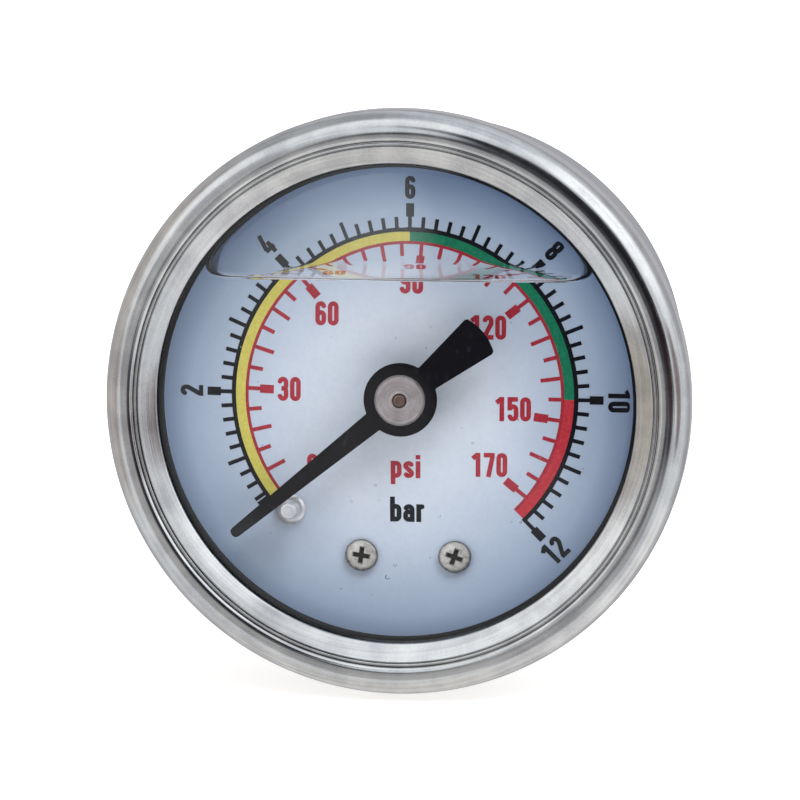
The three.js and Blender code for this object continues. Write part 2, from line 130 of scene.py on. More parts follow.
# The fill and the air left above it.
GLASS_IOR = 1.49
FILL_IOR = 1.47
FILL_RADIUS = 17.5
BUBBLE_CENTRE = np.array([0.0, 13.0])
LEVEL = 8.75
TILT_RISE = 0.85
CLIMB = {"front": 0.5, "rear": 0.4, "reach": 2.0}
REAR_ARCH = {"middle": 1.3, "half": 11.1}
RIM_FILM = {"front": 0.35, "rear": 0.25, "middle": 0.06, "reach": 0.9}
CORNER_ROUNDING = 2.6
FILL_STEPS = 384
FILL_LAYERS = 40

# The printed scale.
ARC = {"outer": 12.19, "inner": 11.885}
BAND_INNER = 11.183
RED_ARC_INNER = 10.969
PRINT_THICKNESS = 0.02
FILL_REAR = DIAL_FRONT - PRINT_THICKNESS - TOUCH
DEGREES_PER_BAR = 22.5
SCALE_TURN = 0.45
ZERO_ANGLE = -128.4
FULL_SCALE = 12
PSI_PER_BAR = 14.504
TICK_WIDTH = 0.275
MAJOR_WIDTH = 0.59
NUMERAL_HEIGHT = 1.69
NUMERAL_RING = 15.13

POINTER_REST = -129.4
HUB_AXIS = (0.0, 0.0)
# Screws: head radius, dome, shank radius, and the recess as (reach, half width, depth).
DIAL_SCREW = (1.15, 0.22, 0.78, (0.76, 0.2, 0.45))
CASE_SCREW = (1.75, 0.4, 0.92, (1.05, 0.2, 0.7))
# The socket and the Bourdon tube; the tube's ends are dial angles.
WEB_FRONT = -12.6
TUBE = {"radius": 15.6, "middle": -16.3, "start": 181, "end": 430}
PORT_END = -4.0
THREAD = {"major": 5.145, "taper": 1 / 32, "pitch": 25.4 / 27, "depth": 0.55, "neck": 4.62}


# ---- meshes

def turn(x, z, degrees):
    """(x, z) turned clockwise about the dial's centre."""
    a = math.radians(degrees)
    return x * math.cos(a) + z * math.sin(a), z * math.cos(a) - x * math.sin(a)


def on_dial(radius, degrees):
    return turn(0, radius, degrees)


def turned(points, degrees):
    return [turn(x, z, degrees) for x, z in points]


def oblong(half, low, high):
    """The corners of a rectangle from -half to half across and from low to high."""
    return [(-half, low), (half, low), (half, high), (-half, high)]


def arc(x, y, half_x, half_y, start, end, steps):
    """Points on an ellipse about (x, y), from start to end degrees anticlockwise from +x."""
    turns = [math.radians(start + (end - start) * k / steps) for k in range(steps + 1)]
    return [(x + half_x * math.cos(a), y + half_y * math.sin(a)) for a in turns]


def mesh_of(name, points_mm, faces):
    mesh = bpy.data.meshes.new(name)
    points = np.asarray(points_mm, float) * MM
    mesh.from_pydata(points.tolist(), [], faces)
    mesh.validate()
    return mesh


def edit(mesh, change):
    """Makes a change to a mesh by way of a bmesh."""
    work = bmesh.new()
    work.from_mesh(mesh)
    change(work)
    work.to_mesh(mesh)
    work.free()


def face_outwards(mesh):
    edit(mesh, lambda work: bmesh.ops.recalc_face_normals(work, faces=work.faces))


def weld(mesh):
    edit(mesh, lambda work: bmesh.ops.remove_doubles(work, verts=work.verts, dist=1e-7))


def shade(mesh, angle=SHARP_ANGLE):
    mesh.polygons.foreach_set("use_smooth", [True] * len(mesh.polygons))
    mesh.set_sharp_from_angle(angle=math.radians(angle))


def rounded(outline, steps=5):
    """A closed outline of (r, y) or (r, y, corner radius), with those corners rounded."""
    points = [np.array(p[:2], float) for p in outline]
    result = []
    for i, spec in enumerate(outline):
        corner = points[i]
        if len(spec) < 3 or spec[2] == 0:
            result.append(tuple(corner))
            continue
        before = points[i - 1] - corner
        after = points[(i + 1) % len(points)] - corner
        reach = min(spec[2], 0.48 * np.linalg.norm(before), 0.48 * np.linalg.norm(after))
        start = corner + before / np.linalg.norm(before) * reach
        end = corner + after / np.linalg.norm(after) * reach
        for k in range(steps + 1):
            t = k / steps
            result.append(tuple((1 - t) ** 2 * start + 2 * t * (1 - t) * corner + t * t * end))
    return result


def band(first, second, count):
    """Quads between two rings of count points that start at those numbers."""
    pairs = [(k, (k + 1) % count) for k in range(count)]
    return [[first + k, first + n, second + n, second + k] for k, n in pairs]


class Shell:
    """A surface gathered from loops of points; each face has a material number, its group."""

    def __init__(self):
        self.points, self.faces, self.groups = [], [], []

    def add(self, loops, group=0):
        """Joins loops of equally many points with quads."""
        first, count = len(self.points), len(loops[0])
        for loop in loops:
            self.points.extend(map(tuple, loop))
        for start in range(first, len(self.points) - count, count):
            self.faces += band(start, start + count, count)
            self.groups += [group] * count

    def cap(self, corners, group=0):
        self.faces.append(list(corners))
        self.groups.append(group)

    def mesh(self, name):
        """The shell with its seams welded."""
        mesh = mesh_of(name, self.points, self.faces)
        mesh.polygons.foreach_set("material_index", self.groups)
        weld(mesh)
        return mesh


def lathe(name, outline, centre=(0, 0), steps=ROUND):
    """The closed outline, rounded where it says so, turned about the line through centre along Y."""
    points, rings = [], []
    for r, y in rounded(outline):
        if r < 1e-6:
            rings.append([len(points)] * steps)
            points.append((centre[0], y, centre[1]))
            continue
        rings.append(list(range(len(points), len(points) + steps)))
        for k in range(steps):
            a = 2 * math.pi * k / steps
            points.append((centre[0] + r * math.cos(a), y, centre[1] + r * math.sin(a)))
    faces = []
    for i, ring in enumerate(rings):
        other = rings[(i + 1) % len(rings)]
        if ring[0] == ring[1] and other[0] == other[1]:
            continue
        for k in range(steps):
            n = (k + 1) % steps
            faces.append(list(dict.fromkeys((ring[k], ring[n], other[n], other[k]))))
    mesh = mesh_of(name, points, faces)
    face_outwards(mesh)
    shade(mesh)
    return mesh


def flat_region(solid, holes=()):
    """Points and triangles of the union of the solid polygons, less the holes."""
    points, polygons = [], []
    for polygon in [*solid, *holes]:
        area = sum(a[0] * b[1] - b[0] * a[1] for a, b in zip(polygon, polygon[1:] + polygon[:1]))
        ordered = polygon if area > 0 else polygon[::-1]
        polygons.append(list(range(len(points), len(points) + len(ordered))))
        points.extend(Vector(p) for p in ordered)
    out_points, _, faces, _, _, origins = delaunay_2d_cdt(points, [], polygons, 0, 1e-5)
    kept = [list(f) for f, origin in zip(faces, origins) if origin and max(origin) < len(solid)]
    return [tuple(p) for p in out_points], kept


def plate(name, solid, front, rear, holes=(), bevel=0.0):
    """A flat plate between two depths, in the outline of the solid polygons' union less the holes."""
    points, triangles = flat_region(solid, holes)
    used = sorted({i for f in triangles for i in f})
    number = {old: new for new, old in enumerate(used)}
    count = len(used)
    corners = [(points[i][0], y, points[i][1]) for y in (front, rear) for i in used]
    top = [[number[i] for i in f] for f in triangles]
    edges = {(f[k], f[(k + 1) % len(f)]) for f in top for k in range(len(f))}
    sides = [[b, a, a + count, b + count] for a, b in edges if (b, a) not in edges]
    bottom = [[i + count for i in reversed(f)] for f in top]
    mesh = mesh_of(name, corners, top + bottom + sides)
    if bevel:
        soften_edges(mesh, bevel)
    shade(mesh)
    return mesh


def soften_edges(mesh, width):
    """Bevels the sharp edges of a mesh."""
    def change(work):
        bmesh.ops.recalc_face_normals(work, faces=work.faces)
        bmesh.ops.dissolve_limit(work, angle_limit=0.01, verts=work.verts, edges=work.edges)
        sharp = [e for e in work.edges if len(e.link_faces) == 2 and e.calc_face_angle() > 1.0]
        bmesh.ops.bevel(work, geom=sharp, offset=width * MM, segments=3, affect="EDGES")

    edit(mesh, change)


def cut_from(mesh, cutters):
    """Cuts closed meshes out of a mesh."""
    target = add_object("cut_target", mesh)
    for cutter in cutters:
        tool = add_object("cut_tool", cutter)
        modifier = target.modifiers.new("cut", "BOOLEAN")
        modifier.operation = "DIFFERENCE"
        modifier.solver = "EXACT"
        modifier.object = tool
    bpy.context.view_layer.update()
    graph = bpy.context.evaluated_depsgraph_get()
    result = bpy.data.meshes.new_from_object(target.evaluated_get(graph))
    for modifier in target.modifiers:
        bpy.data.objects.remove(modifier.object)
    bpy.data.objects.remove(target)
    shade(result)
    return result


def prism(name, section, front, rear, taper=1.0, centre=(0, 0)):
    """A closed prism along Y whose rear section is the front one scaled by taper."""
    count = len(section)
    ends = ((front, 1.0), (rear, taper))
    points = [(centre[0] + x * size, y, centre[1] + z * size) for y, size in ends for x, z in section]
    faces = [list(range(count)), list(range(2 * count - 1, count - 1, -1))]
    faces += band(0, count, count)
    mesh = mesh_of(name, points, faces)
    face_outwards(mesh)
    return mesh


def joined(name, meshes):
    """One mesh made of several closed ones."""
    result = bpy.data.meshes.new(name)
    edit(result, lambda work: [work.from_mesh(mesh) for mesh in meshes])
    return result


def add_object(name, data):
    obj = bpy.data.objects.new(name, data)
    bpy.context.scene.collection.objects.link(obj)
    return obj


def piece(name, mesh, body, materials, replaces=()):
    obj = add_object(name, mesh)
    for material in materials:
        mesh.materials.append(material)
    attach(obj, body)
    if replaces:
        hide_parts(*replaces)
    return obj


# ---- materials

def colour(*display):
    """A display colour of 0 to 255 as a linear one."""
    shares = [value / 255 for value in display]
    linear = [v / 12.92 if v <= 0.04045 else ((v + 0.055) / 1.055) ** 2.4 for v in shares]
    return (*linear, 1.0)


class Nodes:
    """A node tree written in short calls; values may be plain or outputs of other nodes."""

    def node(self, kind, **values):
        made = self.tree.nodes.new(kind)
        for key, value in values.items():
            setattr(made, key, value)
        return made

    def link(self, source, target):
        self.tree.links.new(source, target)

    def feed(self, values, sockets):
        for key, value in values.items():
            if isinstance(value, (int, float, tuple)):
                sockets[key].default_value = value
            else:
                self.link(value, sockets[key])

    def maths(self, operation, a, b=0.0):
        made = self.node("ShaderNodeMath", operation=operation)
        self.feed({0: a, 1: b}, made.inputs)
        return made.outputs[0]

    def spread(self, factor, low, high, start=0.3, end=0.7, curve="LINEAR"):
        """low to high as factor goes from start to end."""
        ramp = self.node("ShaderNodeMapRange", interpolation_type=curve)
        limits = {"From Min": start, "From Max": end, "To Min": low, "To Max": high}
        self.feed({"Value": factor, **limits}, ramp.inputs)
        return ramp.outputs[0]

    def mix(self, factor, a, b):
        made = self.node("ShaderNodeMix", data_type="RGBA")
        self.feed({"Factor": factor, 6: a, 7: b}, made.inputs)
        return made.outputs[2]


class Paint(Nodes):
    """A Principled material with procedural detail."""

    def __init__(self, name, **sockets):
        self.material = bpy.data.materials.new(name)
        self.material.use_nodes = True
        self.tree = self.material.node_tree
        self.shader = self.tree.nodes["Principled BSDF"]
        self.feed({key.replace("_", " "): value for key, value in sockets.items()}, self.shader.inputs)

    def position(self):
        return self.node("ShaderNodeTexCoord").outputs["Object"]

    def axes(self):
        parts = self.node("ShaderNodeSeparateXYZ")
        self.link(self.position(), parts.inputs[0])
        return parts.outputs

    def noise(self, size, stretch=(1, 1, 1), detail=4, vector=None):
        """Noise whose blobs are about size millimetres across."""
        mapping = self.node("ShaderNodeMapping")
        self.feed({"Scale": stretch, "Vector": vector or self.position()}, mapping.inputs)
        texture = self.node("ShaderNodeTexNoise")
        values = {"Scale": 1 / (size * MM), "Detail": detail, "Vector": mapping.outputs[0]}
        self.feed(values, texture.inputs)
        return texture.outputs[0]

    def from_axis(self, centre=(0, 0)):
        """Distance from the line along Y through centre."""
        x, _, z = self.axes()
        offsets = [self.maths("SUBTRACT", a, c * MM) for a, c in zip((x, z), centre)]
        squares = [self.maths("MULTIPLY", a, a) for a in offsets]
        return self.maths("SQRT", self.maths("ADD", *squares))

    def turning_marks(self, size, centre=(0, 0), wobble=0.02):
        """Fine rings left by turning or polishing, about size millimetres apart."""
        x, y, z = self.axes()
        radius = self.from_axis(centre)
        packed = self.node("ShaderNodeCombineXYZ")
        across = self.maths("ADD", radius, self.maths("MULTIPLY", x, wobble))
        self.feed({0: across, 1: y, 2: self.maths("MULTIPLY", z, wobble)}, packed.inputs)
        return self.noise(size, vector=packed.outputs[0], detail=3)

    def colour_by(self, source):
        self.link(source, self.shader.inputs["Base Color"])

    def two_tone(self, factor, dark, light, start=0.3, end=0.7):
        share = self.spread(factor, 0, 1, start, end)
        self.colour_by(self.mix(share, colour(*dark), colour(*light)))

    def roughness(self, factor, low, high):
        self.link(self.spread(factor, low, high), self.shader.inputs["Roughness"])

    def bump(self, factor, height):
        """Relief height in millimetres from dark to light."""
        made = self.node("ShaderNodeBump")
        self.feed({"Strength": 1.0, "Distance": height * MM, "Height": factor}, made.inputs)
        self.link(made.outputs[0], self.shader.inputs["Normal"])

    def surface(self, marks, low, high, relief):
        """Gives the material, with gloss and relief by marks."""
        self.roughness(marks, low, high)
        self.bump(marks, relief)
        return self.material


def bezel_steel():
    paint = Paint("polished_steel", Metallic=1.0)
    marks = paint.turning_marks(0.09)
    bands = paint.turning_marks(0.32, wobble=0.035)
    cloud = paint.noise(2.2)
    blend = paint.maths("MULTIPLY", cloud, 0.48)
    for pattern, share in ((paint.noise(0.14, detail=2), 0.14), (bands, 0.38)):
        blend = paint.maths("ADD", blend, paint.maths("MULTIPLY", pattern, share))
    paint.two_tone(blend, (183, 183, 184), (214, 214, 212), 0.4, 0.6)
    paint.roughness(paint.maths("MULTIPLY", paint.maths("ADD", marks, cloud), 0.5), 0.07, 0.19)
    paint.bump(paint.maths("ADD", marks, bands), 0.0035)
    return paint.material


def turned_metal(name, dark, light, rough, centre=(0, 0), mark=0.08, relief=0.003, metallic=1.0):
    paint = Paint(name, Metallic=metallic)
    paint.two_tone(paint.noise(0.9), dark, light)
    return paint.surface(paint.turning_marks(mark, centre), rough - 0.07, rough + 0.09, relief)


def screw_metal(name, face, inward, recess_at=None):
    """Steel, bright on the head's face at depth face, with painted shade below it, only round recess_at if
    given.
    """
    paint = Paint(name, Metallic=0.45)
    depth = paint.maths("MULTIPLY", paint.maths("SUBTRACT", paint.axes()[1], face * MM), inward)
    wear = paint.noise(0.35)
    steel = paint.mix(paint.spread(wear, 0, 1), colour(186, 183, 178), colour(226, 223, 217))
    # Painted shade: dark from just below the face, in the recess and, without recess_at, down the head's
    # flanks too.
    painted_shade = paint.spread(depth, 0, 1, 0.07 * MM, 0.26 * MM)
    if recess_at:
        inside = paint.spread(paint.from_axis(recess_at), 1, 0, 1.1 * MM, 1.15 * MM)
        painted_shade = paint.maths("MULTIPLY", painted_shade, inside)
    paint.colour_by(paint.mix(painted_shade, steel, colour(46, 44, 43)))
    return paint.surface(wear, 0.22, 0.4, 0.006)


def rolled_metal(name, dark, light, rough):
    paint = Paint(name, Metallic=1.0)
    paint.two_tone(paint.noise(2.5), dark, light)
    return paint.surface(paint.noise(0.25, stretch=(1, 0.12, 1)), rough - 0.08, rough + 0.1, 0.002)


def moulded(name, dark, light, rough):
    paint = Paint(name, Specular_IOR_Level=0.15)
    paint.two_tone(paint.noise(1.6), dark, light)
    return paint.surface(paint.noise(0.12), rough - 0.06, rough + 0.08, 0.004)


# Centre of the dial's painted shade: the enamel darkens with distance from this point, which lies low and
# left of the axis.
PAINTED_SHADE_CENTRE = (-0.7, -1.2)


def dial_paint():
    """White enamel; painted shade makes it cooler and darker towards its rim, most at the upper right."""
    paint = Paint("dial_paint", Specular_IOR_Level=0.12)
    fine = paint.noise(0.35, detail=3)
    cloud = paint.noise(5.5, detail=3)
    base = paint.mix(paint.spread(cloud, 0, 1), colour(202, 210, 222), colour(212, 219, 230))
    reach = paint.from_axis(PAINTED_SHADE_CENTRE)
    # Painted shade: two cool grey-blue gradients that darken the enamel outwards from the shade centre.
    for start, end, tint in ((6.5, 17.2, (162, 184, 213)), (14.6, 18.2, (102, 124, 162))):
        base = paint.mix(paint.spread(reach, 0, 1, start * MM, end * MM), base, colour(*tint))
    paint.colour_by(paint.mix(paint.spread(fine, 0, 0.12), base, colour(150, 165, 190)))
    return paint.surface(fine, 0.42, 0.56, 0.002)


def ink(name, dark, light):
    paint = Paint(name, Specular_IOR_Level=0.1)
    fine = paint.noise(0.22, detail=3)
    paint.two_tone(fine, dark, light, 0.35, 0.7)
    return paint.surface(fine, 0.45, 0.6, 0.002)


def pointer_paint():
    paint = Paint("pointer_black", Specular_IOR_Level=0.07)
    fine = paint.noise(0.13, detail=5)
    scuffs = paint.noise(0.5, stretch=(1, 1, 0.4), detail=5)
    base = paint.mix(paint.spread(fine, 0, 1), colour(6, 5, 10), colour(11, 10, 17))
    paint.colour_by(paint.mix(paint.spread(scuffs, 0, 0.35, 0.62, 0.8), base, colour(70, 74, 88)))
    return paint.surface(fine, 0.42, 0.58, 0.0015)


def clear(name, ior, waves=0.0):
    paint = Paint(name, Roughness=0.0, Transmission_Weight=1.0, IOR=ior, Base_Color=(1, 1, 1, 1))
    if waves:
        paint.bump(paint.noise(6.0, detail=2), waves)
    return paint.material


def make_materials():
    hub, pin = centre_mm("pointer_hub"), centre_mm("stop_pin")
    made = {
        "bezel": bezel_steel(),
        "case": turned_metal("case_steel", (184, 186, 190), (200, 201, 203), 0.3, mark=0.16),
        "bright": rolled_metal("bright_steel", (186, 187, 192), (222, 222, 224), 0.22),
        "dial_screw": screw_metal("dial_screw_steel", front_mm("dial_screw_left"), 1),
        "pin": turned_metal("pin_steel", (212, 214, 219), (240, 241, 245), 0.2, pin, 0.1, metallic=0.5),
        "hub": turned_metal("hub_steel", (142, 134, 135), (176, 168, 169), 0.3, hub, 0.07, 0.006, 0.55),
        "arbor": turned_metal("arbor_tip", (120, 96, 88), (160, 134, 120), 0.35, hub, 0.04),
        "socket": turned_metal("socket_brass", (181, 150, 92), (214, 184, 122), 0.27, mark=0.14),
        "brass": rolled_metal("movement_brass", (190, 158, 92), (222, 192, 120), 0.3),
        "bronze": rolled_metal("tube_bronze", (168, 118, 78), (204, 150, 102), 0.32),
        "rubber": moulded("black_rubber", (6, 6, 8), (16, 16, 19), 0.62),
        "plastic": moulded("black_plastic", (6, 7, 10), (14, 15, 20), 0.45),
        "dial": dial_paint(),
        "black_ink": ink("black_ink", (10, 12, 20), (20, 24, 34)),
        "red_ink": ink("red_ink", (158, 40, 54), (176, 54, 67)),
        "red_band": ink("red_band", (184, 46, 58), (202, 62, 72)),
        "yellow_band": ink("yellow_band", (204, 194, 92), (218, 207, 108)),
        "green_band": ink("green_band", (16, 114, 84), (28, 132, 98)),
        "pointer": pointer_paint(),
        "glass": clear("clear_window", GLASS_IOR, 0.002),
        "wetted": clear("window_wetted_side", GLASS_IOR / FILL_IOR),
        "fill": clear("fill_surface", FILL_IOR),
        "matched": clear("fill_against_wall", 1.0),
    }
    for node in ("case_screw_left", "case_screw_right"):
        made[node] = screw_metal(f"{node}_steel", rear_mm(node), -1, centre_mm(node))
    return made


# ---- window and fill

def smooth_larger(a, b, width):
    h = np.clip(0.5 + 0.5 * (a - b) / width, 0, 1)
    return b + (a - b) * h + width * h * (1 - h)


def rim_circle():
    return np.array(arc(0, 0, FILL_RADIUS, FILL_RADIUS, 0, 360, FILL_STEPS)[:-1])


def creep(distance, reach):
    """How far a liquid has climbed towards a wall: 1 at the wall, 0 beyond reach."""
    share = max(0.0, 1 - distance / reach)
    return 1 - math.sqrt(1 - share * share)


def bubble_loop(depth):
    """Where the bubble meets the fill at a share of the way from window to dial, on rays to the rim."""
    rays = rim_circle() - BUBBLE_CENTRE
    space = DIAL_FRONT - WINDOW_APEX - WINDOW_THICKNESS
    to_front, to_rear = depth * space, (1 - depth) * space
    level = LEVEL + CLIMB["front"] * creep(to_front, CLIMB["reach"])
    rear_rise = TILT_RISE * depth + CLIMB["rear"] * creep(to_rear, CLIMB["reach"])
    film = RIM_FILM["middle"] + RIM_FILM["front"] * creep(to_front, RIM_FILM["reach"])
    film += RIM_FILM["rear"] * creep(to_rear, RIM_FILM["reach"])
    low, high = np.zeros(FILL_STEPS), np.ones(FILL_STEPS)
    for _ in range(40):
        share = (low + high) / 2
        x, z = (BUBBLE_CENTRE + rays * share[:, None]).T
        arch = np.sqrt(np.clip(1 - ((x - REAR_ARCH["middle"]) / REAR_ARCH["half"]) ** 2, 0, 1))
        below = level + rear_rise * arch - z
        outside = smooth_larger(np.hypot(x, z) - (FILL_RADIUS - film), below, CORNER_ROUNDING) > 0
        high = np.where(outside, share, high)
        low = np.where(outside, low, share)
    return BUBBLE_CENTRE + rays * low[:, None]


def loop_at(flat, y):
    """Points (x, y, z) of a flat loop of (x, z)."""
    y = np.broadcast_to(y, len(flat))
    return np.stack([flat[:, 0], y, flat[:, 1]], 1)


def on_dome(flat, gap=0.0):
    """A flat loop of (x, z) laid on the window's inner face, gap behind it."""
    return loop_at(flat, DOME_CENTRE - np.sqrt(DOME_INNER**2 - (flat**2).sum(1)) + gap)


def between(first, last, steps, start=0):
    """Loops on the way from first to last."""
    return [first + (last - first) * share for share in np.linspace(start, 1, steps)]


def window_mesh():
    """The domed window; the part of its inner face that the fill wets has its own material."""
    rim = rim_circle()
    wet_edge = bubble_loop(0)
    shell = Shell()
    shell.add([on_dome(flat) for flat in between(BUBBLE_CENTRE, wet_edge, 12, 0.04)])
    shell.cap(range(FILL_STEPS)[::-1])
    shell.add([on_dome(flat) for flat in between(wet_edge, rim, 16)], 1)
    unit = rim / FILL_RADIUS
    wall_front = DOME_CENTRE - math.sqrt(DOME_INNER**2 - FILL_RADIUS**2)
    edge = [(FILL_RADIUS, wall_front), (FILL_RADIUS + 0.05, WINDOW_REAR)]
    edge += [(WINDOW_RADIUS - 0.15, WINDOW_REAR), (WINDOW_RADIUS, WINDOW_REAR - 0.15)]
    edge += [(WINDOW_RADIUS, WINDOW_EDGE_FRONT + 0.15), (WINDOW_RADIUS - 0.15, WINDOW_EDGE_FRONT)]
    edge += [(r, DOME_CENTRE - math.sqrt(DOME_RADIUS**2 - r * r)) for r in np.linspace(LIP_RADIUS, 0.6, 28)]
    shell.add([loop_at(unit * r, y) for r, y in edge])
    shell.cap(range(len(shell.points) - FILL_STEPS, len(shell.points)))
    mesh = shell.mesh("domed_window")
    face_outwards(mesh)
    shade(mesh)
    return mesh


def small_bubbles():
    """(x, y, z, radius) of the gas bubbles that float in the fill and cling to the dial."""
    clinging = [(-0.55, -11.9, 0.13), (-1.1, -12.8, 0.2), (4.9, -3.1, 0.09), (-3.6, -7.4, 0.09)]
    clinging += [(2.6, -8.3, 0.1), (-1.9, -6.2, 0.08), (8.3, -8.7, 0.1), (-9.4, -9.9, 0.1)]
    made = [(x, DIAL_FRONT - 0.9, z, r) for x, z, r in clinging]
    rng = random.Random(7)
    for _ in range(26):
        way, reach = rng.uniform(0, 360), rng.uniform(2.6, 16.0)
        x, z = on_dial(reach, way)
        if z < LEVEL - 1.5:
            made.append((x, DIAL_FRONT - rng.uniform(0.3, 1.2), z, rng.uniform(0.035, 0.07)))
    return made


def cavity_loops(x, y, z, radius, rows=8, steps=14):
    """The loops of a small sphere whose faces look into it, as a hollow in the fill."""
    loops = []
    for along, ring in arc(y, 0, -radius, radius, 0, 180, rows):
        loops.append([(a, along, b) for a, b in arc(x, z, ring, ring, 0, 360, steps)[:-1]])
    return loops


def fill_mesh():
    """The fill, with the large air bubble at the top and small ones floating in it."""
    rim = rim_circle()
    shell = Shell()
    loops = []
    for depth in (1 - np.cos(np.pi * np.linspace(0, 1, FILL_LAYERS))) / 2:
        flat = bubble_loop(depth)
        front = on_dome(flat, TOUCH)
        loops.append(front + (loop_at(flat, FILL_REAR) - front) * depth)
    shell.add(loops, 1)
    front_side = [on_dome(flat, TOUCH) for flat in between(bubble_loop(0), rim, 12)]
    rear_side = [loop_at(flat, FILL_REAR) for flat in between(bubble_loop(1), rim, 12)]
    wall = between(front_side[-1], rear_side[-1], 4)
    for side in (front_side[::-1], wall[::-1], rear_side):
        shell.add(side)
    for bubble in small_bubbles():
        shell.add(cavity_loops(*bubble), 1)
    mesh = shell.mesh("liquid_fill")
    shade(mesh, 50)
    return mesh


def make_window_and_fill(mat):
    glass = piece("domed_window", window_mesh(), "housing",
                  [mat["glass"], mat["wetted"]], ["window"])
    fill = piece("liquid_fill", fill_mesh(), "housing", [mat["matched"], mat["fill"]])
    for obj in (glass, fill):
        # Light goes straight through, so that the dial is lit without noise.
        obj.visible_shadow = obj.visible_diffuse = obj.visible_glossy = False


# ---- bezel and case

def bezel_mesh():
    """A rolled ring: outer roll, a fine seam, a narrow bead, a groove and the sloping lip."""
    r, crest = BEZEL_RADIUS - 0.1, BEZEL_CREST
    crown = 19.65
    roll = arc(crown, crest + 1.6, r - crown, -1.6, 0, 90, 36)
    flank = arc(crown, crest + 0.32, 0.5, -0.32, 95, 170, 12)
    bead = arc(18.98, crest + 0.24, 0.09, -0.1, 0, 180, 10)
    outline = [(20.2, -29.48), (20.15, -29.0, 0.1), (r - 0.4, crest + 5.2, 0.2), (r, -29.9, 0.4)]
    outline += [*roll, *flank, (19.14, crest + 0.42), (19.09, crest + 0.42)]
    outline += [*bead, (18.88, crest + 0.42), (18.83, crest + 0.42)]
    outline += [(18.78, crest + 0.13, 0.06), (LIP_RADIUS + 0.06, LIP_FRONT, 0.05)]
    outline += [(LIP_RADIUS, LIP_FRONT + 0.06, 0.05), (LIP_RADIUS, -33.06)]
    outline += [(19.6, -33.06, 0.1), (20.1, -33.3), (20.9, -32.5, 0.3), (21.0, -29.9, 0.2), (20.85, -29.5)]
    return lathe("bezel", outline)


def case_mesh():
    rim, rear = depths_mm("case_cup")
    side, wall, bend, bore = 19.8, 0.6, 2.6, 8.05
    middle = (side - bend, rear - bend)
    outline = [(bore, rear), (side - bend, rear), *arc(*middle, bend, bend, 90, 0, 14)]
    outline += [(side, rim + 0.9, 0.4), (CASE_RADIUS, rim + 0.6, 0.2), (CASE_RADIUS, rim, 0.1)]
    outline += [(side - wall, rim, 0.3), (side - wall, rear - bend)]
    outline += [*arc(*middle, bend - wall, bend - wall, 0, 90, 14), (bore, rear - wall)]
    return lathe("case", outline)


def screw_mesh(node, seat, out, head, dome, shank, recess, degrees):
    """A pan-head screw; out is the direction along Y that its head faces, head and shank are radii."""
    centre = centre_mm(node)
    top, tip = depths_mm(node)[::-out]
    outline = [(0, top), (head * 0.5, top - out * dome * 0.1), (head * 0.85, top - out * dome * 0.5, 0.2)]
    outline += [(head, top - out * dome, 0.15), (head, seat, 0.05), (shank, seat, 0.05)]
    for y in np.arange(seat - out * 0.3, tip + out * 0.35, -out * 0.35):
        outline += [(shank, y), (shank - 0.1, y - out * 0.175)]
    outline += [(shank - 0.15, tip, 0.05), (0, tip)]
    mesh = lathe(node, outline, centre, 72)
    reach, width, depth = recess
    wings = []
    for extra in (0, 90):
        section = turned(oblong(reach, -width, width), degrees + extra)
        wings.append(prism("wing", section, top + out * 0.1, top - out * depth, 0.5, centre))
    return cut_from(mesh, wings)


def make_housing(mat):
    piece("rolled_bezel", bezel_mesh(), "housing", [mat["bezel"]], ["bezel_ring"])
    piece("drawn_case", case_mesh(), "housing", [mat["case"]], ["case_cup"])
    rings = (("moulded_gasket", "window_gasket", GASKET_BORE, 0.1, "black_rubber", "rubber"),
             ("moulded_spacer", "dial_spacer_ring", SPACER_BORE, 0.15, "black_plastic", "plastic"))
    for name, node, bore, front_round, slot, material in rings:
        front, rear = depths_mm(node)
        outer = radius_mm(node)
        outline = [(bore, front, front_round), (bore, rear, 0.1), (outer, rear, 0.1), (outer, front, 0.1)]
        piece(name, lathe(name, outline), "housing", [mat[material]], [node])


# ---- dial and print

STROKE = 0.19
WIDE = 0.45
HALF = STROKE / 2
LEFT, RIGHT = HALF, WIDE - HALF
BOW = (RIGHT - LEFT) / 2
MIDDLE = WIDE / 2
X_HEIGHT = 0.71


def bow(cy, start, end, height=BOW, steps=8):
    """An arc of a letter's bowl about (MIDDLE, cy)."""
    return arc(MIDDLE, cy, BOW, height, start, end, steps)


def ring_stroke(low, high):
    """A closed oblong stroke between two heights."""
    loop = bow(high - HALF - BOW, 0, 180, steps=12) + bow(low + HALF + BOW, 180, 360, steps=12)
    return [loop + loop[:1]]


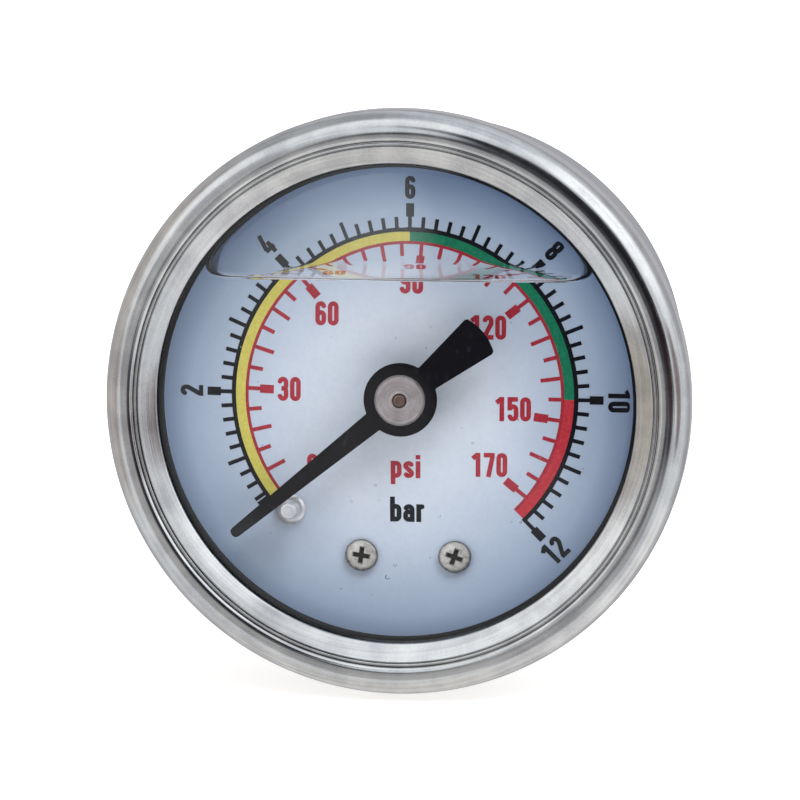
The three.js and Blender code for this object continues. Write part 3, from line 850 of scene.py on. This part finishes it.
def glyph(letter):
    """The centre lines of a letter's strokes, in units of its height."""
    top, foot = 1 - HALF - BOW, HALF + BOW
    return {
        "0": ring_stroke(0, 1),
        "1": [[(MIDDLE + 0.06, 0), (MIDDLE + 0.06, 1)], [(MIDDLE + 0.02, 0.91), (0.06, 0.76)]],
        "2": [bow(top, 190, 0) + [(RIGHT, 0.66), (LEFT + 0.02, 0.2), (LEFT + 0.01, HALF)],
              [(LEFT - HALF, HALF), (WIDE, HALF)]],
        "3": [bow(top, 190, 0) + bow(0.62, 0, -80, 0.1), [(0.16, 0.52), (0.24, 0.52)],
              bow(0.42, 80, 0, 0.1) + bow(foot, 0, -190)],
        "4": [[(0.26, 1.0), (0.05, 0.3)], [(0.0, 0.27), (0.47, 0.27)], [(0.33, 0.56), (0.33, 0)]],
        "5": [[(0.43, 1 - HALF), (LEFT, 1 - HALF)], [(LEFT, 1), (LEFT, 0.45)],
              bow(0.48, 160, 0) + bow(foot, 0, -190)],
        "6": ring_stroke(0, 0.63) + [[(LEFT, 0.3), *bow(top, 180, -10)]],
        "7": [[(0, 1 - HALF), (WIDE, 1 - HALF)], [(RIGHT, 1 - HALF), (RIGHT, 0.82), (0.19, 0)]],
        "8": ring_stroke(0, 0.59) + ring_stroke(0.42, 1),
        "9": ring_stroke(0.37, 1) + [[(RIGHT, 0.7), *bow(foot, 0, -190)]],
        "b": ring_stroke(0, X_HEIGHT) + [[(LEFT, 0), (LEFT, 1)]],
        "p": ring_stroke(0, X_HEIGHT) + [[(LEFT, -0.27), (LEFT, X_HEIGHT)]],
        "i": [[(LEFT, 0), (LEFT, X_HEIGHT)], [(LEFT, 0.79), (LEFT, 0.97)]],
        "r": [[(LEFT, 0), (LEFT, X_HEIGHT)], [*bow(X_HEIGHT - HALF - BOW, 180, 75)]],
        "a": [[(RIGHT, 0), (RIGHT, 0.45), *bow(X_HEIGHT - HALF - BOW, 0, 170)],
              bow(0.29, 20, 180, 0.11) + bow(0.2, 180, 360, 0.105)],
        "s": [bow(X_HEIGHT - HALF - 0.105, 10, 200, 0.105) + bow(0.2, 20, -170, 0.105)],
    }[letter]


def stroke_quads(line):
    """The quads of a stroke along a line, one for each of its straight parts."""
    quads = []
    for (x0, z0), (x1, z1) in zip(line, line[1:]):
        length = math.hypot(x1 - x0, z1 - z0)
        if length < 1e-6:
            continue
        nx, nz = (z0 - z1) / length * HALF, (x1 - x0) / length * HALF
        quads.append([(x0 - nx, z0 - nz), (x1 - nx, z1 - nz), (x1 + nx, z1 + nz), (x0 + nx, z0 + nz)])
    return quads


def joint_disc(x, z, radius, steps=12):
    return arc(x, z, radius, radius, 0, 360, steps)[:-1]


def word_polygons(word, height, place, degrees=0, gap=0.07):
    """The polygons of a word centred on place and turned clockwise."""
    advance = {"i": STROKE, "r": 0.36}
    widths = [advance.get(letter, WIDE) for letter in word]
    total = sum(widths) + gap * (len(word) - 1)
    polygons, start = [], -total / 2
    for letter, width in zip(word, widths):
        for line in glyph(letter):
            shapes = stroke_quads(line)
            shapes += [joint_disc(x, z, HALF) for x, z in line[1:-1]]
            if line[0] == line[-1]:
                shapes.append(joint_disc(*line[0], HALF))
            for polygon in shapes:
                moved = [((start + x) * height, (z - 0.5) * height) for x, z in polygon]
                polygons.append([(place[0] + x, place[1] + z) for x, z in turned(moved, degrees)])
        start += width + gap
    return polygons


def pressure_angle(bar):
    return (bar - FULL_SCALE / 2) * DEGREES_PER_BAR + SCALE_TURN


def tick(inner, outer, degrees, width):
    return turned(oblong(width / 2, inner, outer), degrees)


def arc_band(inner, outer, start, end):
    steps = max(2, round(abs(end - start) / 2.5))
    turns = [start + (end - start) * k / steps for k in range(steps + 1)]
    return [on_dial(outer, t) for t in turns] + [on_dial(inner, t) for t in reversed(turns)]


def bar_scale():
    end = pressure_angle(FULL_SCALE)
    polygons = [arc_band(ARC["inner"], ARC["outer"], ZERO_ANGLE, end + 0.65)]
    foot = ARC["inner"] + 0.1
    for step in range(1, 5 * FULL_SCALE + 1):
        bar = step / 5
        angle = pressure_angle(bar) if step > 1 else ZERO_ANGLE + 1.2
        if step % 10 == 0:
            polygons.append(tick(foot, 13.1, angle, TICK_WIDTH))
            polygons.append(tick(12.98, 13.96, angle, MAJOR_WIDTH))
            place = on_dial(NUMERAL_RING, angle)
            facing = angle - 180 if bar == FULL_SCALE else angle
            polygons += word_polygons(str(round(bar)), NUMERAL_HEIGHT, place, facing)
        else:
            polygons.append(tick(foot, 13.46 if step % 5 == 0 else 12.98, angle, TICK_WIDTH))
    polygons += word_polygons("bar", 1.77, (0.27, -7.93))
    return polygons


def psi_scale():
    places = {0: (-6.42, -4.99), 30: (-8.06, 0.37), 60: (-5.4, 5.7), 90: (0.5, 8.0),
              120: (5.85, 4.89), 150: (7.6, -0.78), 170: (5.96, -4.7)}
    end = pressure_angle(FULL_SCALE)
    polygons = [arc_band(RED_ARC_INNER, BAND_INNER + 0.01, ZERO_ANGLE, end)]
    foot = RED_ARC_INNER + 0.05
    for psi in (0, *range(10, 175, 5)):
        angle = pressure_angle(psi / PSI_PER_BAR) if psi else ZERO_ANGLE
        if psi in places:
            polygons.append(tick(10.1, foot, angle, TICK_WIDTH))
            polygons.append(tick(9.16, 10.15, angle, MAJOR_WIDTH))
        else:
            polygons.append(tick(9.6 if psi % 10 == 0 else 10.08, foot, angle, TICK_WIDTH))
    for psi, place in places.items():
        polygons += word_polygons(str(psi), NUMERAL_HEIGHT, place)
    polygons += word_polygons("psi", 1.68, (0.12, -4.87))
    return polygons


def dial_mesh():
    front, rear = depths_mm("dial_plate")
    outline = [(1.4, rear), (DIAL_RADIUS, rear, 0.05), (DIAL_RADIUS, front, 0.08), (1.4, front, 0.08)]
    return lathe("dial", outline)


def print_piece(name, polygons, material, lift=0.0):
    front = DIAL_FRONT - PRINT_THICKNESS + lift
    mesh = plate(name, polygons, front, DIAL_FRONT + PRINT_THICKNESS)
    piece(name, mesh, "housing", [material])


def make_dial(mat):
    piece("painted_dial", dial_mesh(), "housing", [mat["dial"]], ["dial_plate"])
    print_piece("print_black", bar_scale(), mat["black_ink"])
    print_piece("print_red", psi_scale(), mat["red_ink"])
    limits = [ZERO_ANGLE, pressure_angle(6), pressure_angle(10), pressure_angle(FULL_SCALE)]
    for name, start, end in zip(("yellow", "green", "red"), limits, limits[1:]):
        polygons = [arc_band(BAND_INNER, ARC["inner"] + 0.02, start, end)]
        print_piece(f"print_{name}_band", polygons, mat[f"{name}_band"], 0.005)


# ---- pointer, pins and screws

def pointer_mesh():
    front, rear = depths_mm("pointer")
    ring, tip, tail = 2.58, 15.8, 7.55
    blade = [(-0.8, 0), (-0.38, tip - 0.3), (-0.3, tip - 0.1), (-0.12, tip), (0.12, tip)]
    blade += [(0.3, tip - 0.1), (0.38, tip - 0.3), (0.8, 0)]
    fan = [(0.88, 0), (0.88, -2.0), (1.5, -tail + 0.75)]
    fan += [(1.53, -tail + 0.5), (1.45, -tail + 0.3), (1.2, -tail + 0.2), (0.6, -tail + 0.05), (0, -tail)]
    fan += [(-x, z) for x, z in reversed(fan[:-1])]
    disc = joint_disc(0, 0, ring, 96)
    bore = joint_disc(0, 0, 1.16, 48)
    outlines = [turned(points, POINTER_REST) for points in (blade, fan, disc, bore)]
    return plate("pointer", outlines[:3], front, rear, outlines[3:], bevel=0.045)


def hub_mesh():
    front, rear = depths_mm("pointer_hub")
    radius = radius_mm("pointer_hub") + 0.09
    seat = front_mm("pointer") - 0.02
    outline = [(0.5, rear), (1.1, rear), (1.1, seat), (radius, seat, 0.04), (radius, front + 0.2, 0.05)]
    outline += [(radius - 0.13, front, 0.08), (radius - 0.24, front + 0.02, 0.03)]
    outline += [(radius - 0.3, front + 0.06, 0.03), (0.66, front + 0.05, 0.05)]
    outline += [(0.58, front, 0.04), (0.5, front + 0.03, 0.04), (0.5, front + 0.4)]
    return lathe("hub", outline, HUB_AXIS, 128)


def arbor_tip_mesh():
    """A cap over the front of the pinion arbor, whose centre is drilled."""
    front = front_mm("pinion_arbor") - 0.06
    rear = DIAL_FRONT - 2.0
    outline = [(0.41, rear), (0.45, rear), (0.45, front + 0.1, 0.06), (0.34, front, 0.05)]
    outline += [(0.14, front + 0.01), (0, front + 0.04), (0, front + 0.05), (0.41, front + 0.05)]
    return lathe("arbor_tip", outline, HUB_AXIS, 64)


def stop_pin_mesh():
    pin, shoulder, foot = 0.6, 1.15, DIAL_FRONT
    front = front_mm("stop_pin")
    outline = [(0, foot + 0.35), (pin, foot + 0.35), (pin, foot), (shoulder, foot, 0.02)]
    outline += [(shoulder, foot - 0.42, 0.15), (0.86, foot - 0.57, 0.1), (0.62, foot - 0.6, 0.06)]
    outline += [(pin, foot - 1.0), (pin, front + 0.12, 0.08), (0.5, front, 0.06), (0, front)]
    return lathe("stop_pin", outline, centre_mm("stop_pin"), 72)


def make_pointer(mat):
    piece("pointer_blade", pointer_mesh(), "pointer_set", [mat["pointer"]], ["pointer"])
    piece("turned_hub", hub_mesh(), "pointer_set", [mat["hub"]], ["pointer_hub"])
    piece("arbor_tip", arbor_tip_mesh(), "pointer_set", [mat["arbor"]])


def make_pins_and_screws(mat):
    piece("turned_stop_pin", stop_pin_mesh(), "housing", [mat["pin"]], ["stop_pin"])
    dial_seat, case_seat = DIAL_FRONT - TOUCH, rear_mm("case_cup") + TOUCH
    screws = (("pan_head_left", "dial_screw_left", dial_seat, -1, DIAL_SCREW, 8),
              ("pan_head_right", "dial_screw_right", dial_seat, -1, DIAL_SCREW, 20),
              ("case_pan_head_left", "case_screw_left", case_seat, 1, CASE_SCREW, 30),
              ("case_pan_head_right", "case_screw_right", case_seat, 1, CASE_SCREW, 75))
    for name, node, seat, out, sizes, degrees in screws:
        mesh = screw_mesh(node, seat, out, *sizes, degrees)
        piece(name, mesh, "housing", [mat.get(node, mat["dial_screw"])], [node])


# ---- socket and plug

def thread_radii(y, turns):
    """The tapered thread's radii round the stem at y, fading in at the neck and out at the end."""
    to_end, depth = STEM_END - y, THREAD["depth"]
    crest = THREAD["major"] - y * THREAD["taper"]
    share = np.mod(y / THREAD["pitch"] - turns / (2 * np.pi), 1.0)
    ridge = np.clip(np.abs(share - 0.5) * 2.3 - 0.07, 0, 1)
    fade = np.clip((y - 0.1) / 0.9, 0, 1) * np.clip(to_end / 0.5 + 0.25, 0, 1)
    start_limit = THREAD["neck"] + 0.6 * np.clip((y - 0.3) / 0.8, 0, 1)
    end_limit = crest - depth + np.clip(to_end / 0.6, 0, 1) * depth
    return np.minimum(crest - depth * ridge * np.clip(fade, 0.2, 1), min(start_limit, end_limit))


def socket_mesh():
    """The stem: flange in the case, wrench square, neck and tapered thread, bored for the port."""
    steps, flat = 192, 5.5
    turns = 2 * np.pi * np.arange(steps) / steps
    across, up = np.cos(turns), np.sin(turns)
    square = flat / np.maximum(np.abs(across), np.abs(up))
    rings = [(WEB_FRONT, 0), (WEB_FRONT, 7.4), (WEB_FRONT + 0.1, 7.5), (-11.45, 7.5), (-11.45, 12.4)]
    rings += [(-9.45, 12.4), (-9.45, 7.85), (-7.9, 7.85)]
    corners = ((-7.9, 6.9), (-7.6, 7.3), (-7.2, 7.6), (-0.5, 7.6), (-0.2, 7.3), (0.0, 6.7))
    rings += [(y, np.minimum(square, limit)) for y, limit in corners]
    rings.append((0.0, THREAD["neck"]))
    heights = np.arange(0.05, STEM_END + 1e-6, THREAD["pitch"] / 14)
    rings += [(y, thread_radii(y, turns)) for y in heights]
    rings += [(STEM_END, 4.15), (STEM_END, 1.75), (STEM_END - 0.25, 1.5), (PORT_END, 1.5)]
    rings.append((PORT_END - 0.8, 0))
    shell = Shell()
    shell.add([np.stack([radius * across, np.full(steps, y), radius * up], 1) for y, radius in rings])
    mesh = shell.mesh("socket")
    mesh.validate()
    face_outwards(mesh)
    return mesh


def socket_block_meshes():
    """The block inside the case that holds the tube, and the web that joins it to the flange."""
    front = front_mm("socket")
    half, rear = 3.6, -9.6
    made = []
    for low, high, face in ((-17.4, -12.7, front), (-13.2, -6.0, WEB_FRONT)):
        mesh = prism("block", oblong(half, low, high), face, rear)
        soften_edges(mesh, 0.25)
        made.append(mesh)
    return made


def plug_mesh():
    inner_end, back = depths_mm("filler_plug")
    seat, radius, neck = rear_mm("case_cup"), radius_mm("filler_plug"), 1.5
    outline = [(0, back - 0.35), (0.5, back - 0.35, 0.1), (0.62, back, 0.1), (radius - 0.35, back, 0.25)]
    outline += [(radius, seat + 0.35, 0.2), (radius, seat + 0.02, 0.05), (neck, seat + 0.02)]
    outline += [(neck, seat - 0.65), (1.85, seat - 0.75, 0.1), (1.3, inner_end, 0.15), (0, inner_end)]
    return lathe("plug", outline, centre_mm("filler_plug"), 96)


def make_rear(mat):
    body = joined("socket_body", [socket_mesh(), *socket_block_meshes()])
    shade(body, 38)
    piece("threaded_stem", body, "housing", [mat["socket"]], ["socket"])
    piece("plug_cap", plug_mesh(), "housing", [mat["rubber"]], ["filler_plug"])


def tube_mesh():
    """The Bourdon tube: a flat oval swept about the dial's axis from the block to the tip."""
    radius, middle, half_width, half_thick = TUBE["radius"], TUBE["middle"], 3.0, 0.95
    reach = half_width - half_thick
    section = []
    for side, start in ((1, -90), (-1, 90)):
        end = arc(side * reach, 0, half_thick, half_thick, start, start + 180, 12)
        section += [(out, along) for along, out in end]
    steps, count = 150, len(section)
    loops = []
    for i in range(steps + 1):
        x, z = on_dial(1, TUBE["start"] + (TUBE["end"] - TUBE["start"]) * i / steps)
        loops.append([(x * (radius + out), middle + along, z * (radius + out)) for out, along in section])
    shell = Shell()
    shell.add(loops)
    shell.cap(range(count)[::-1])
    shell.cap(range(steps * count, (steps + 1) * count))
    mesh = shell.mesh("tube")
    face_outwards(mesh)
    shade(mesh)
    return mesh


def make_tube(mat):
    """The tube stays put: its transform is baked into its mesh."""
    tube = add_object("formed_tube", tube_mesh())
    tube.data.materials.append(mat["bronze"])
    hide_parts("bourdon_tube")
    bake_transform(tube)


# ---- inner parts left as CAD

INNER = {
    "bright": ["bracket_screw", "pillar_screw_left", "pillar_screw_right", "movement_screw_left",
               "movement_screw_right", "link_screw_tail", "link_screw_tip", "sector_arbor", "pinion_arbor"],
    "brass": ["dial_bracket", "movement_back_plate", "movement_front_plate", "pillar_left", "pillar_right",
              "sector_gear", "link_bar", "hairspring_collet", "hairspring_stud", "tube_tip"],
    "bronze": ["hairspring"],
    "socket": ["restrictor_screw"],
    "rubber": ["socket_seal"],
}


def finish_inner_parts(mat):
    for key, names in INNER.items():
        for name in names:
            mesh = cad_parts[name].data
            mesh.materials.clear()
            mesh.materials.append(mat[key])


# ---- stage, light and camera

OPEN_STUDIO = (0.87, 0.9, 0.95, 1)
BACKDROP = (1.1, 1.1, 1.1, 1)
KEY = {"aim": (60, 70), "distance": 0.75, "size": 0.4, "power": 2.5, "tint": (0.95, 0.975, 1.0)}
CAMERA = {"azimuth": 7.9, "elevation": 7.79, "distance": 241.0, "lens": 150.0}
AIM = Vector((0, -33.5, 0))
AIM_SHIFT = (0.47, 0.47)


def direction(azimuth, elevation):
    a, e = math.radians(azimuth), math.radians(elevation)
    return Vector((math.sin(a) * math.cos(e), -math.cos(a) * math.cos(e), math.sin(e)))


def make_camera():
    data = bpy.data.cameras.new("camera")
    data.lens = CAMERA["lens"]
    data.clip_start, data.clip_end = 0.01, 20
    camera = add_object("camera", data)
    back = direction(CAMERA["azimuth"], CAMERA["elevation"])
    facing = (-back).to_track_quat("-Z", "Y")
    side = facing @ Vector((*AIM_SHIFT, 0))
    camera.location = (AIM + back * CAMERA["distance"] + side) * MM
    camera.rotation_mode = "QUATERNION"
    camera.rotation_quaternion = facing
    bpy.context.scene.camera = camera


def make_floor():
    """A pale floor that curves up into a backdrop."""
    low = CAD_BOX[0].z / MM - 0.4
    front, back, bend, rise, half_width = -1100, 900, 500, 1000, 1600
    line = [(front, low), *arc(back, low + bend, bend, bend, -90, 0, 12), (back + bend, low + bend + rise)]
    points = [(x, y, z) for x in (-half_width, half_width) for y, z in line]
    count = len(line)
    mesh = mesh_of("floor", points, [[k, k + count, k + count + 1, k + 1] for k in range(count - 1)])
    shade(mesh)
    floor = add_object("floor", mesh)
    paint = Paint("pale_floor", Roughness=0.9, Base_Color=(0.8, 0.79, 0.77, 1),
                  Emission_Color=(1.0, 0.985, 0.96, 1), Emission_Strength=0.62)
    mesh.materials.append(paint.material)
    floor.visible_glossy = False


class Sky(Nodes):
    """A studio surround painted by direction."""

    def __init__(self):
        world = bpy.data.worlds.new("studio")
        bpy.context.scene.world = world
        world.use_nodes = True
        self.tree = world.node_tree
        self.background = self.tree.nodes["Background"]
        self.towards = self.node("ShaderNodeTexCoord").outputs["Generated"]

    def lobe(self, aim, inner, outer):
        """1 within inner degrees of aim, falling to 0 at outer degrees."""
        dot = self.node("ShaderNodeVectorMath", operation="DOT_PRODUCT")
        self.feed({0: self.towards, 1: tuple(Vector(aim).normalized())}, dot.inputs)
        start, end = (math.cos(math.radians(a)) for a in (outer, inner))
        return self.spread(dot.outputs["Value"], 0, 1, start, end, "SMOOTHSTEP")


def polar(tilt, towards):
    """A direction tilted from the gauge's front towards a dial angle, anticlockwise from 3 o'clock."""
    t, a = math.radians(tilt), math.radians(towards)
    return (math.sin(t) * math.cos(a), -math.cos(t), math.sin(t) * math.sin(a))


# Directions, the degrees within which each is full and at which it is gone, and its light.
SURROUND = [
    ((180, 0), 45, 85, (0.52, 0.52, 0.55)),
    ((90, 90), 15, 60, (0.86, 0.91, 0.98)),
    ((90, 270), 15, 62, (0.86, 0.85, 0.84)),
    ((92, 130), 24, 46, (0.5, 0.52, 0.55)),
    ((80, -52), 14, 32, (1.06, 1.06, 1.08)),
    ((52, 98), 10, 26, (1.2, 1.24, 1.3)),
    ((60, 147), 12, 28, (1.2, 1.23, 1.27)),
    ((74, 38), 18, 34, (1.5, 1.56, 1.62)),
    ((72, 187), 8, 24, (0.52, 0.48, 0.42)),
    ((98, 172), 22, 44, (0.62, 0.585, 0.57)),
    ((59, -4), 8, 16, (0.3, 0.25, 0.25)),
    ((0, 0), 24, 40, (0.07, 0.075, 0.09)),
    ((28, 180), 10, 17, (0.52, 0.5, 0.5)),
    ((28, 215), 10, 17, (0.52, 0.51, 0.52)),
    ((28, 250), 10, 17, (0.52, 0.52, 0.53)),
    ((28, 290), 10, 17, (0.55, 0.55, 0.57)),
    ((57, 45), 7, 15, (1.6, 1.67, 1.75)),
    ((24, 5), 10, 17, (0.05, 0.028, 0.032)),
    ((24, 36), 10, 17, (0.02, 0.02, 0.025)),
    ((24, 64), 10, 17, (0.03, 0.03, 0.035)),
    ((24, 126), 9, 15, (1.1, 1.15, 1.22)),
    ((37, 150), 6, 12, (0.7, 0.72, 0.76)),
    ((24, 160), 9, 15, (0.66, 0.68, 0.7)),
    ((11, 225), 4, 9, (0.45, 0.45, 0.46)),
]


def make_light():
    sky = Sky()
    tone = OPEN_STUDIO
    for aim, inner, outer, value in SURROUND:
        tone = sky.mix(sky.lobe(polar(*aim), inner, outer), tone, (*value, 1))
    path = sky.node("ShaderNodeLightPath")
    sky.link(sky.mix(path.outputs["Is Camera Ray"], tone, BACKDROP), sky.background.inputs["Color"])
    data = bpy.data.lights.new("key", "AREA")
    data.shape = "DISK"
    data.size, data.energy, data.color = KEY["size"], KEY["power"], KEY["tint"]
    lamp = add_object("key", data)
    aim = Vector(polar(*KEY["aim"]))
    lamp.location = AIM * MM + aim.normalized() * KEY["distance"]
    lamp.rotation_mode = "QUATERNION"
    lamp.rotation_quaternion = aim.to_track_quat("Z", "Y")
    lamp.visible_glossy = False


bpy.context.scene.view_settings.view_transform = "Standard"
make_camera()
materials = make_materials()
make_housing(materials)
make_window_and_fill(materials)
make_dial(materials)
make_pointer(materials)
make_pins_and_screws(materials)
make_rear(materials)
make_tube(materials)
finish_inner_parts(materials)
make_floor()
make_light()
